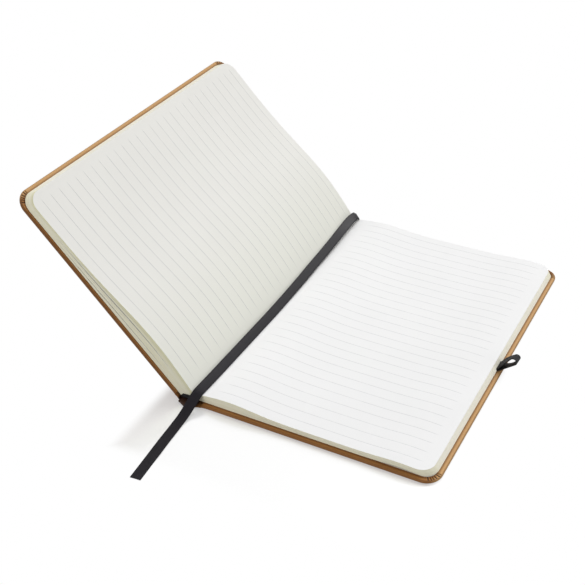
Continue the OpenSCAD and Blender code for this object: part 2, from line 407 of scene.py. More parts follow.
@dataclass(frozen=True)
class LeatherFinish(Finish):
    """Tan leather with a fine grain. Painted shade darkens its pleats, the joints by the spine, its head and
    tail rims and the line under the leaves' overhang, near black where deepest; the fore edges are paler,
    partly from scuffing and partly painted light.
    """

    name: str = "tan_leather"
    tan: Colour = linear(170, 117, 62)
    deep: Colour = linear(147, 97, 48)
    # Painted shade colours: one for pleats, spine joints, head and tail rims and the line under the leaves'
    # overhang, and a near-black one for the deepest of them. The paler fore-edge colour is partly scuffing
    # and partly painted light.
    crease: Colour = linear(68, 35, 9)
    worn_and_lit: Colour = linear(208, 165, 112)
    painted_hollow_shade: Colour = linear(30, 13, 8)
    mottle_scale: float = 55.0
    mottle_range: Pair = (0.3, 0.7)
    mottle_share: float = 0.22
    fine_scale: float = 900.0
    grain_scale: float = 1150.0
    grain_width: float = 0.35
    grain_share: float = 0.3
    grain_height: float = 0.7
    worn_and_lit_least: float = 0.65
    crease_share: float = 0.9
    hollow_from: float = 0.7
    hollow_share: float = 0.8
    rough_fine: float = 0.14
    rough_mottle: float = 0.06
    relief: float = 0.07
    relief_share: float = 0.6
    shine: float = 0.25

    def build(self) -> bpy.types.Material:
        """Makes the material."""
        g = Graph.of_material(self.name)
        spot = g.place()
        mottle = g.noise(spot, self.mottle_scale, detail=4.0).step(*self.mottle_range)
        fine = g.noise(spot, self.fine_scale, detail=2.0)
        grain = g.cell_rims(spot, self.grain_scale).step(0.0, self.grain_width)
        colour = g.mix(mottle * self.mottle_share + (1.0 - grain) * self.grain_share, self.tan, self.deep)
        # Paler towards the fore edges: partly scuffing, partly painted light.
        worn_and_lit = g.mark("edge") * (self.worn_and_lit_least + fine * (1 - self.worn_and_lit_least))
        colour = g.mix(worn_and_lit, colour, self.worn_and_lit)
        # Painted shade in pleats, spine joints, head and tail rims and under the leaves' overhang.
        crease = g.mark("crease")
        colour = g.mix(crease * self.crease_share, colour, self.crease)
        # Near-black painted shade where the shade mark is deepest.
        colour = g.mix(crease.step(self.hollow_from, 1.0) * self.hollow_share, colour, self.painted_hollow_shade)
        height = grain * self.grain_height + fine * (1 - self.grain_height)
        rough = self.rough + fine * self.rough_fine + mottle * self.rough_mottle
        return self.close(g, colour, height, rough)


@dataclass(frozen=True)
class PageFinish(Finish):
    """Ivory writing paper with fine ruled lines that fade before the ends of the page; painted shade can
    darken it towards the fold.
    """

    name: str = "ruled_page"
    paper: Colour = linear(247, 246, 242)
    line: Colour = linear(168, 170, 172)
    # Painted shade towards the fold.
    gutter: Colour = linear(238, 239, 227)
    gutter_shade_share: float = 0.0
    gutter_shade_reach: float = 75.0
    cloud_scale: float = 28.0
    cloud_range: Pair = (0.35, 0.65)
    cloud_share: float = 0.35
    cloud_shade: float = 0.965
    fibre_scale: float = 700.0
    pitch: float = 7.137
    lowest: float = -96.0
    count: int = 28
    half_width: float = 0.13
    soft: float = 0.05
    first: float = 11.0
    last: float = 126.0
    fade_in: Pair = (-4.0, 6.0)
    fade_out: Pair = (0.5, -3.0)
    tail_fade: Pair = (-2.0, -1.0)
    head_fade: float = 1.0
    ink_scale: float = 260.0
    ink_range: Pair = (0.2, 0.6)
    ink_least: float = 0.5
    ruled: bool = True
    strength: float = 0.75
    rough: float = 0.72
    shine: float = 0.25
    relief: float = 0.03
    relief_share: float = 0.35

    def build(self) -> bpy.types.Material:
        """Makes the material."""
        g = Graph.of_material(self.name)
        spot = g.place()
        fibre = g.noise(spot, self.fibre_scale, detail=4.0, roughness=0.6)
        cloud = g.noise(spot, self.cloud_scale).step(*self.cloud_range)
        shade = tuple(self.cloud_shade * part for part in self.paper)
        colour = g.mix(cloud * self.cloud_share, self.paper, shade)
        if self.ruled:
            along, across, _ = g.parts_of(g.flat())
            along, across = along / MM, across / MM
            # Painted shade towards the fold.
            colour = g.mix(along.step(self.gutter_shade_reach, 0.0) * self.gutter_shade_share, colour, self.gutter)
            colour = g.mix(self._lines(along, across, g, spot), colour, self.line)
        return self.close(g, colour, fibre)

    def _lines(self, along: Socket, across: Socket, g: Graph, spot: Socket) -> Socket:
        """Mask of the ruled lines.

        Args:
            along: Distance from the fold, in millimetres.
            across: Place from tail to head, in millimetres.
            g: The material's graph.
            spot: The point in the part's frame.

        Returns:
            How strongly the print covers the paper.
        """
        shifted = (across - self.lowest) / self.pitch + 0.5
        away = (shifted.use("FRACT") - 0.5).use("ABSOLUTE") * self.pitch
        line = away.step(self.half_width + self.soft, self.half_width - self.soft)
        top = self.lowest + self.pitch * (self.count - 0.5)
        inside = across.step(top + self.head_fade, top)
        for place, at, fade in ((across, self.lowest, self.tail_fade), (along, self.first, self.fade_in),
                                (along, self.last, self.fade_out)):
            inside = inside * place.step(at + fade[0], at + fade[1])
        ink = g.noise(spot, self.ink_scale, detail=2.0).step(*self.ink_range)
        return line * inside * (ink * (1 - self.ink_least) + self.ink_least) * self.strength


@dataclass(frozen=True)
class EdgeFinish(Finish):
    """Cut edges of the leaves: hundreds of fine layers, a little greener than the pages, with painted shade
    in bands between groups of leaves and on the upper leaves' head and tail edges, and painted light that
    makes the fore edges paler.
    """

    name: str = "leaf_edges"
    pale: Colour = linear(253, 251, 232)
    deep: Colour = linear(243, 238, 206)
    # Painted shade: darker bands between groups of leaves, and the upper leaves' edges; painted light: the
    # paler fore edges.
    gap_shade: Colour = linear(196, 190, 142)
    upper: Colour = linear(226, 222, 178)
    fore: Colour = linear(255, 252, 240)
    layer_stretch: Triple = (9.0, 2600.0, 1.0)
    group_stretch: Triple = (5.0, 520.0, 1.0)
    layer_range: Pair = (0.35, 0.65)
    gap_shade_range: Pair = (0.62, 0.72)
    gap_shade_share: float = 0.35
    upper_shade_share: float = 0.55
    lit_fore_share: float = 0.75
    rough: float = 0.8
    shine: float = 0.2

    def build(self) -> bpy.types.Material:
        """Makes the material."""
        g = Graph.of_material(self.name)
        flat = g.flat()
        layers = g.noise(g.stretched(flat, self.layer_stretch), 1.0, detail=2.0, roughness=0.7)
        groups = g.noise(g.stretched(flat, self.group_stretch), 1.0, detail=1.0)
        colour = g.mix(layers.step(*self.layer_range), self.pale, self.deep)
        # Darker bands at random heights: painted shade between groups of leaves.
        colour = g.mix(groups.step(*self.gap_shade_range) * self.gap_shade_share, colour, self.gap_shade)
        # Painted shade on the upper leaves' head and tail edges.
        colour = g.mix(g.mark("crease") * self.upper_shade_share, colour, self.upper)
        # Painted light: the fore edges paler than the head and tail edges.
        colour = g.mix(g.mark("edge") * self.lit_fore_share, colour, self.fore)
        return self.close(g, colour, layers)


@dataclass(frozen=True)
class BoardFinish(Finish):
    """Grey pressed board with short fibres."""

    name: str = "grey_board"
    pale: Colour = linear(168, 162, 150)
    dark: Colour = linear(128, 122, 112)
    fibre_stretch: Triple = (1.0, 0.35, 1.0)
    fibre_scale: float = 1500.0
    fibre_range: Pair = (0.3, 0.7)
    rough: float = 0.9

    def build(self) -> bpy.types.Material:
        """Makes the material."""
        g = Graph.of_material(self.name)
        fibres = g.noise(g.stretched(g.place(), self.fibre_stretch), self.fibre_scale,
                         detail=4.0, roughness=0.7)
        colour = g.mix(fibres.step(*self.fibre_range), self.pale, self.dark)
        return self.close(g, colour, fibres)


@dataclass(frozen=True)
class LiningFinish(Finish):
    """Stretchy glued lining: an open cloth weave under a coat of glue."""

    name: str = "glued_lining"
    pale: Colour = linear(226, 221, 205)
    dark: Colour = linear(190, 184, 165)
    thread: float = 0.55
    weave_share: float = 0.6
    glue_scale: float = 120.0
    glue_share: float = 0.3
    rough: float = 0.75
    relief: float = 0.06
    relief_share: float = 0.6

    def build(self) -> bpy.types.Material:
        """Makes the material."""
        g = Graph.of_material(self.name)
        spot = g.place()
        one, two, _ = g.parts_of(spot)
        weave = g.swing(one, self.thread) * g.swing(two, self.thread) * 0.5 + 0.5
        glue = g.noise(spot, self.glue_scale)
        colour = g.mix(weave * self.weave_share + glue * self.glue_share, self.dark, self.pale)
        return self.close(g, colour, weave)


@dataclass(frozen=True)
class RibbonFinish(Finish):
    """Charcoal satin: long floating threads, firm selvages, a soft sheen."""

    name: str = "charcoal_satin"
    dark: Colour = linear(10, 8, 12)
    light: Colour = linear(28, 24, 33)
    half_width: float = 3.1
    thread: float = 0.17
    thread_lean: float = 0.12
    thread_share: float = 0.6
    pick: float = 0.32
    pick_share: float = 0.4
    slub_stretch: Triple = (2400.0, 150.0, 1.0)
    slub_range: Pair = (0.3, 0.7)
    slub_share: float = 0.45
    weave_share: float = 0.4
    selvage_from: float = 0.75
    selvage_to: float = 0.5
    selvage_share: float = 0.35
    rough: float = 0.32
    rough_slub: float = 0.16
    rough_selvage: float = 0.12
    shine: float = 0.17
    relief: float = 0.02
    relief_share: float = 0.45

    def build(self) -> bpy.types.Material:
        """Makes the material."""
        g = Graph.of_material(self.name)
        flat = g.flat()
        across, along, _ = g.parts_of(flat)
        threads = g.swing(across + along * self.thread_lean, self.thread) * 0.5 + 0.5
        picks = g.swing(along, self.pick) * 0.5 + 0.5
        slub = g.noise(g.stretched(flat, self.slub_stretch), 1.0, detail=2.0)
        selvage = (across.use("ABSOLUTE") / MM).step(self.half_width - self.selvage_from,
                                                     self.half_width - self.selvage_to)
        weave = threads * self.thread_share + picks * self.pick_share * (self.pick_share + selvage)
        lit = weave * self.weave_share + slub.step(*self.slub_range) * self.slub_share
        colour = g.mix(lit, self.dark, self.light)
        colour = g.mix(selvage * self.selvage_share, colour, self.dark)
        rough = self.rough + slub * self.rough_slub + selvage * self.rough_selvage
        return self.close(g, colour, weave, rough)


@dataclass(frozen=True)
class ElasticFinish(Finish):
    """Black woven tape, ribbed along its length or across it."""

    name: str = "black_elastic"
    dark: Colour = linear(9, 9, 10)
    light: Colour = linear(34, 33, 35)
    rib: float = 0.72
    rib_share: float = 0.65
    pick: float = 0.42
    weave_share: float = 0.6
    fuzz_scale: float = 2200.0
    fuzz_share: float = 0.3
    rough: float = 0.6
    rough_fuzz: float = 0.2
    shine: float = 0.2
    relief: float = 0.06
    relief_share: float = 0.6

    def build(self) -> bpy.types.Material:
        """Makes the material."""
        g = Graph.of_material(self.name)
        across, along, _ = g.parts_of(g.flat())
        ribs = g.swing(across, self.rib, "COSINE") * 0.5 + 0.5
        picks = g.swing(along, self.pick) * 0.5 + 0.5
        fuzz = g.noise(g.place(), self.fuzz_scale, detail=2.0)
        weave = ribs * self.rib_share + picks * (1 - self.rib_share)
        colour = g.mix(weave * self.weave_share + fuzz * self.fuzz_share, self.dark, self.light)
        return self.close(g, colour, weave, self.rough + fuzz * self.rough_fuzz)


class Draft:
    """Points and faces in millimetres, gathered before they become one mesh."""

    join_gap = 0.002
    thin_edge = 0.001

    def __init__(self) -> None:
        """Starts with nothing."""
        self.points: List[Array] = []
        self.faces: List[Tuple[int, ...]] = []
        self.flat: List[List[Pair]] = []
        self.slots: List[int] = []
        self.marks: Dict[str, List[Array]] = {"edge": [], "crease": []}
        self.count = 0

    def grid(self, points: Array, flat: Array, slot: int = 0, flip: bool = False,
             **marks: Array) -> None:
        """Adds a sheet of four-sided faces.

        Args:
            points: Points of the sheet, rows by columns by three.
            flat: Each point's place on the sheet laid flat, rows by columns by two.
            slot: Material slot.
            flip: Whether the faces look the other way.
            marks: Values of each point that its finish reads: edge, for the leather's paler fore edges, from
                scuffing and painted light, or for a leaf's fore edge, which gets painted light; and a second
                mark, for shade painted on the leather or on the upper leaves' edges.
        """
        rows, columns = points.shape[:2]
        start = self._take(points, marks)
        places = flat.reshape(-1, 2)
        for i in range(rows - 1):
            for j in range(columns - 1):
                a = i * columns + j
                ring = (a, a + 1, a + 1 + columns, a + columns)
                self._face(ring[::-1] if flip else ring, start, places, slot)

    def cap(self, points: Array, flat: Array) -> None:
        """Adds one many-sided face."""
        start = self._take(points, {})
        self._face(tuple(range(len(points))), start, flat, 0)

    def tube(self, points: Array, flat: Array) -> None:
        """Adds a closed tube: its section in the rows, its run in the columns, both ends capped."""
        self.grid(points, flat)
        for index in (0, -1):
            self.cap(points[:-1, index], flat[:-1, index])

    def _take(self, points: Array, marks: Mapping[str, Array]) -> int:
        """Notes points and their marks, which are 0 where none are given.

        Args:
            points: The points.
            marks: Their marks by name.

        Returns:
            The number of the first of them.
        """
        start = self.count
        points = points.reshape(-1, 3)
        self.points.append(points)
        for name, values in self.marks.items():
            values.append(marks[name].reshape(-1) if name in marks else np.zeros(len(points)))
        self.count += len(points)
        return start

    def _face(self, ring: Sequence[int], start: int, places: Array, slot: int) -> None:
        """Notes one face.

        Args:
            ring: Its corners, counted from start.
            start: Number of the first point.
            places: Places of the points on the sheet laid flat.
            slot: Material slot.
        """
        self.faces.append(tuple(start + k for k in ring))
        self.flat.append([tuple(places[k] * MM) for k in ring])
        self.slots.append(slot)

    def build(self, name: str, materials: Sequence[bpy.types.Material],
              sharp_deg: float = 40.0) -> bpy.types.Object:
        """Makes the mesh, joins points that meet and turns every face outwards.

        Args:
            name: The piece's name.
            materials: One per slot.
            sharp_deg: Edges that turn by more than this stay sharp.

        Returns:
            The piece.
        """
        mesh = bpy.data.meshes.new(name)
        mesh.from_pydata((np.vstack(self.points) * MM).tolist(), [], self.faces)
        layer = mesh.uv_layers.new(name="flat")
        layer.data.foreach_set("uv", np.array([c for f in self.flat for c in f], float).ravel())
        mesh.polygons.foreach_set("material_index", self.slots)
        for key, values in self.marks.items():
            mark = mesh.attributes.new(key, "FLOAT", "POINT")
            mark.data.foreach_set("value", np.concatenate(values).astype(np.float32))
        for material in materials:
            mesh.materials.append(material)
        work = bmesh.new()
        work.from_mesh(mesh)
        bmesh.ops.remove_doubles(work, verts=work.verts, dist=self.join_gap * MM)
        bmesh.ops.dissolve_degenerate(work, edges=work.edges, dist=self.thin_edge * MM)
        bmesh.ops.recalc_face_normals(work, faces=work.faces)
        work.to_mesh(mesh)
        work.free()
        mesh.polygons.foreach_set("use_smooth", [True] * len(mesh.polygons))
        mesh.set_sharp_from_angle(angle=math.radians(sharp_deg))
        piece = bpy.data.objects.new(name, mesh)
        bpy.context.scene.collection.objects.link(piece)
        return piece


def settle(piece: bpy.types.Object, body: str, node: str) -> bpy.types.Object:
    """Rides a finished piece on its body, hides the CAD node that it stands for, and reports it.

    Args:
        piece: The piece.
        body: The body that carries it.
        node: The CAD node that it stands for.

    Returns:
        The piece.
    """
    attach(piece, body)
    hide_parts(node)
    LOG.info("%s: %d faces, on %s", piece.name, len(piece.data.polygons), body)
    return piece


@dataclass(frozen=True)
class Book:
    """The notebook's main sizes and the places that its pieces share."""

    lean: float
    fold_x: float
    fold_r: float
    half_len: float
    back_edge: float
    cover_t: float = 2.1
    leather_t: float = 0.45
    joint_w: float = 4.0
    spine_w: float = 10.2
    spine_board_w: float = 6.6
    spine_board_t: float = 1.0
    seat: float = 2.35
    page_inset: float = 2.5
    page_corner_r: float = 8.0
    fore_slant: float = 2.0
    heel_r: float = 2.2
    back_leaf_t: float = 3.05
    back_swell: float = 2.6
    back_swell_at: float = 25.0
    back_swell_half: float = 20.0
    back_lift: float = 1.02
    back_lift_in: float = 21.0
    back_lift_half: float = 14.0
    under_half: float = 12.0
    front_leaf_t: float = 4.5
    front_fan: float = 5.9
    front_fan_at: float = 33.0
    front_fan_half: float = 42.0

    @classmethod
    def from_frame(cls, frame: Mapping[str, Any]) -> "Book":
        """Reads the fold, the lean and the covers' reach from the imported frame.


        Returns:
            The sizes.
        """
        joint = next(j for j in frame["joints"] if j["name"] == "front_cover_turn")
        low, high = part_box("back_leather")
        return cls(lean=math.radians(joint["range_deg"][1]), fold_x=joint["pos_m"][0] / MM,
                   fold_r=joint["pos_m"][2] / MM, half_len=(high.y - low.y) / 2 / MM,
                   back_edge=high.x / MM)

    @property
    def back_x(self) -> float:
        """Where the back cover starts."""
        return self.spine_w / 2

    @property
    def cover_w(self) -> float:
        """Width of a cover from its fold."""
        return self.back_edge - self.back_x

    @property
    def page_half(self) -> float:
        """Half the length of the pages."""
        return self.half_len - self.page_inset

    @property
    def heel_s(self) -> float:
        """Where the rounded back of the leaves starts, from the fold of either cover."""
        return (self.seat - self.fold_r + self.heel_r) * math.tan(self.lean / 2)

    @property
    def heel(self) -> Array:
        """Centre of the rounded back of the leaves, in X and Z."""
        return np.array([self.fold_x + self.heel_s, self.seat + self.heel_r])

    def front(self, s: Array, h: Array) -> Array:
        """X and Z of a place over the front cover.

        Args:
            s: Distance from the fold.
            h: Height over the cover's outer face.

        Returns:
            X and Z in the last axis.
        """
        s, h = np.asarray(s, float), np.asarray(h, float) - self.fold_r
        sine, cosine = math.sin(self.lean), math.cos(self.lean)
        return points_of(self.fold_x - s * cosine + h * sine, self.fold_r + s * sine + h * cosine)

    def front_top(self, s: Array) -> Array:
        """Height of the left page over the front cover's outer face."""
        return self.seat + self.front_leaf_t + self.front_fan * hump(s, self.front_fan_at,
                                                                      self.front_fan_half)

    def back_top(self, x: Array) -> Array:
        """Height of the right page over the table."""
        return (self.seat + self.back_leaf_t
                + self.back_swell * hump(x, self.back_swell_at, self.back_swell_half)
                + self.back_lift * hump(x, self.back_edge - self.back_lift_in, self.back_lift_half))

    def back_under(self, x: Array) -> Array:
        """Height of the underside of the right-hand leaves."""
        return self.seat + self.back_lift * hump(x, self.back_edge - self.back_lift_in, self.under_half)

    def place_back(self, points: Array) -> Array:
        """Puts flat points on the back cover, round the fold where X is left of it.

        Args:
            points: Place across the cover, place along it and height.

        Returns:
            X, Y and Z.
        """
        x, y, w = points[..., 0], points[..., 1], points[..., 2]
        turn = np.maximum(self.fold_x - x, 0) / self.fold_r
        reach = self.fold_r - w
        rolled = x < self.fold_x
        return points_of(np.where(rolled, self.fold_x - reach * np.sin(turn), x), y,
                         np.where(rolled, self.fold_r - reach * np.cos(turn), w))

    def place_front(self, points: Array) -> Array:
        """Puts flat points on the leaning front cover."""
        side = self.front(points[..., 0], points[..., 2])
        return points_of(side[..., 0], points[..., 1], side[..., 1])


@dataclass(frozen=True)
class Lamp:
    """One square lamp that looks at the notebook."""

    name: str
    at: Triple
    size: float
    power: float

    def build(self) -> None:
        """Makes the lamp."""
        data = bpy.data.lights.new(self.name, "AREA")
        data.size, data.energy = self.size * MM, self.power
        lamp = bpy.data.objects.new(self.name, data)
        lamp.location = Vector(self.at) * MM
        lamp.rotation_euler = (-lamp.location).to_track_quat("-Z", "Y").to_euler()
        bpy.context.scene.collection.objects.link(lamp)


@dataclass
class Studio:
    """Camera, floor, lamps and world."""

    camera_at: Triple = (260.9, -455.5, 369.2)
    azimuth: float = 28.91
    elevation: float = 34.57
    roll: float = -1.69
    focal_px: float = 1042.2
    picture_px: float = 585.0
    sensor: float = 36.0
    clip_m: Pair = (0.01, 20.0)
    floor_half: float = 2500.0
    floor_colour: Colour = linear(181, 181, 181)
    floor_rough: float = 0.2
    floor_gloss: float = 0.28
    floor_lift: float = 0.4
    # Box round the notebook beyond which the floor is painted plain white over any shadow.
    shadow_low: Pair = (-8.5, -142.0)
    shadow_high: Pair = (135.0, 95.0)
    shadow_fade: Pair = (3.0, 12.0)
    sky_light: float = 0.3
    lamps: Tuple[Lamp, ...] = (
        Lamp("key_lamp", at=(520.0, 1680.0, 1960.0), size=1600.0, power=45.0),
        Lamp("side_lamp", at=(1000.0, -150.0, 620.0), size=700.0, power=1.2),
        Lamp("front_lamp", at=(-260.0, -1150.0, 640.0), size=900.0, power=5.0))

    def build(self) -> None:
        """Makes the whole studio."""
        self._camera()
        self._floor()
        self._world()
        for lamp in self.lamps:
            lamp.build()
        bpy.context.scene.view_settings.view_transform = "Standard"

    def _camera(self) -> None:
        """Camera at the viewing angle of the photograph."""
        data = bpy.data.cameras.new("camera")
        data.sensor_width = self.sensor
        data.lens = self.focal_px * self.sensor / self.picture_px
        data.clip_start, data.clip_end = self.clip_m
        a, e, r = (math.radians(v) for v in (self.azimuth, self.elevation, self.roll))
        back = Vector((math.sin(a) * math.cos(e), -math.cos(a) * math.cos(e), math.sin(e)))
        right = Vector((math.cos(a), math.sin(a), 0.0))
        up = back.cross(right)
        right, up = math.cos(r) * right + math.sin(r) * up, math.cos(r) * up - math.sin(r) * right
        turn = Matrix((right, up, back)).transposed().to_4x4()
        camera = bpy.data.objects.new("camera", data)
        camera.matrix_world = Matrix.Translation(Vector(self.camera_at) * MM) @ turn
        bpy.context.scene.collection.objects.link(camera)
        bpy.context.scene.camera = camera

    def _floor(self) -> None:
        """Plain pale floor, a little glossy, that keeps the notebook's soft shadow near it; beyond a box
        round the notebook it is painted plain white over any shadow.
        """
        draft = Draft()
        side = np.array([-self.floor_half, self.floor_half])
        sheet = points_of(side, side[:, None], 0.0)
        draft.grid(sheet, sheet[..., :2])
        g = Graph.of_material("white_floor")
        seen = self._seen(g)
        paint = g.node("ShaderNodeBsdfDiffuse", None, {"Color": self.floor_colour})
        gloss = g.node("ShaderNodeBsdfAnisotropic", None, {"Color": WHITE, "Roughness": self.floor_rough})
        coated = g.blend(seen * self.floor_gloss, paint, gloss)
        dark, lift, plain = (g.white_light("ShaderNodeEmission", strength)
                             for strength in (0.0, self.floor_lift, 1.0))
        near = g.node("ShaderNodeAddShader", None, {0: coated, 1: g.blend(seen, dark, lift)})
        # Away from the notebook, plain white is painted over the floor and its shadow.
        draft.build("floor", [g.close(g.blend(seen * self._away(g), near, plain))])

    def _away(self, g: Graph) -> Socket:
        """1 on the floor beyond a box round the notebook, where plain white is painted over any shadow.

        Args:
            g: The floor's graph.

        Returns:
            The share of plain white.
        """
        share: Term = 0.0
        for place, low, high in zip(g.parts_of(g.place()), self.shadow_low, self.shadow_high):
            beyond = (place / MM - (low + high) / 2).use("ABSOLUTE") - (high - low) / 2
            share = beyond.step(*self.shadow_fade).use("MAXIMUM", share)
        return share

    @staticmethod
    def _seen(g: Graph) -> Socket:
        """1 where a ray comes from the camera or through a mirror or glass.

        Args:
            g: The graph of the floor or the world.

        Returns:
            1 or 0.
        """
        total: Term = 0.0
        for name in ("Is Camera Ray", "Is Glossy Ray", "Is Transmission Ray"):
            total = total + g.node("ShaderNodeLightPath", output=name)
        return total.use("MINIMUM", 1.0)

    def _world(self) -> None:
        """White behind the floor, and a plain soft light on the object."""
        world = bpy.data.worlds.new("studio")
        bpy.context.scene.world = world
        g = Graph(world)
        light, white = (g.white_light("ShaderNodeBackground", strength)
                        for strength in (self.sky_light, 1.0))
        g.close(g.blend(self._seen(g), light, white), "ShaderNodeOutputWorld")


@dataclass
class RibbonMarker:
    """Flat satin ribbon from the head of the spine, down the gutter and out over the table.

    The points of its middle line hold X, Y, a share of the right page's height, a height over
    that share and the roll in degrees. Y counts from the leaves' head in head, in shares of
    half a page in run, and from their tail in tail.
    """

    book: Book
    width: float = 6.2
    thick: float = 0.34
    rim: float = 0.12
    dish: float = 0.12
    steps: int = 6
    sharp_deg: float = 50.0
    head_at: float = 0.5
    head_half: float = 7.0
    head_left: Triple = (1.2, 0.5, 0.0)
    head_right: Triple = (0.0, -2.2, -1.5)
    head: Tuple[Row, ...] = (
        (3, 2.1, 0, 2.8, 0), (3.1, 2.3, 0.25, 3.2, 0), (3.3, 2.2, 0.5, 3.7, 0), (3.6, 1.5, 0.8, 3.8, 0),
        (3.9, -0.1, 1, 4.1, 4), (4.2, -2.9, 1, 4.9, 12), (4.4, -7, 1, 5, 20), (4.5, -12.5, 1, 4.8, 24))
    run: Tuple[Row, ...] = (
        (4.6, 0.81, 1, 4.4, 20), (4.8, 0.72, 1, 3.9, 14), (5.1, 0.6, 1, 3.3, 12),
        (5.4, 0.47, 1, 2.8, 12), (5.7, 0.32, 1, 2.4, 12), (6.1, 0.17, 1, 1.9, 11), (6.4, 0, 1, 1.6, 10),
        (6.6, -0.18, 1, 1.4, 10), (6.5, -0.35, 1, 1.3, 10), (6.4, -0.53, 1, 1.3, 10),
        (6.3, -0.69, 1, 1.3, 10), (6.2, -0.84, 1, 1.3, 10))
    tail: Tuple[Row, ...] = (
        (6, 6.5, 1, 1.3, 9), (5.8, 1, 1, 1.1, 7), (5.5, -3, 0.75, 1.3, 5), (5.2, -7, 0.5, 1, 3),
        (4.9, -11, 0.25, 0.7, 2), (4.7, -15, 0, 1, 0), (4.7, -19.5, 0, 0.4, 0), (5.1, -25.5, 0, 0.3, 0),
        (5.7, -34.5, 0, 0.3, 0), (6.5, -43.5, 0, 0.3, 0), (7.2, -52, 0, 0.3, 0), (7.7, -58, 0, 0.3, 0),
        (8.1, -63, 0, 0.3, 0))

    def _route(self) -> Array:
        """Middle line: X, Y, Z and roll of each of the ribbon's points.

        Returns:
            One row per point.
        """
        half, rows = self.book.page_half, []
        for points, start, scale in ((self.head, half, 1), (self.run, 0, half), (self.tail, -half, 1)):
            rows += [(x, start + scale * y, share * float(self.book.back_top(x)) + rise, roll)
                     for x, y, share, rise, roll in points]
        return np.array(rows)

    def _pull(self, a: float) -> Array:
        """How far the skewed fold over the leaves' ends pulls a place across the ribbon.

        Args:
            a: The place, from the middle line.

        Returns:
            The move in X, Y and Z.
        """
        share = a / (self.width / 2)
        return np.array(self.head_right) * max(share, 0.0) + np.array(self.head_left) * max(-share, 0.0)

    def build(self, finish: RibbonFinish) -> bpy.types.Object:
        """Args:
            finish: Its satin.

        Returns:
            The ribbon.
        """
        line = smooth_line(self._route(), self.steps)
        middle = line[:, :3]
        along = unit(np.gradient(middle, axis=0))
        roll = np.radians(line[:, 3])
        level = points_of(np.cos(roll), 0.0, -np.sin(roll))
        across = unit(level - along * np.sum(level * along, 1)[:, None])
        face = np.cross(across, along)
        at_head = hump(middle[:, 1], self.book.page_half + self.head_at, self.head_half)[:, None]
        section = tape_section(self.width, self.thick, self.rim, self.dish)
        run = travelled(middle)
        rows = np.stack([middle + a * across + b * face + at_head * self._pull(a) for a, b in section], 1)
        flat = np.stack([points_of(a, run) for a, _ in section], 1)
        draft = Draft()
        draft.grid(rows, flat)
        draft.cap(rows[0, :-1][::-1], flat[0, :-1][::-1])
        draft.cap(rows[-1, :-1], flat[-1, :-1])
        piece = draft.build("ribbon", [finish.build()], self.sharp_deg)
        self.width * MM
        LOG.info("ribbon: %.1f mm long", run[-1])
        return settle(piece, "pages", "ribbon_marker")


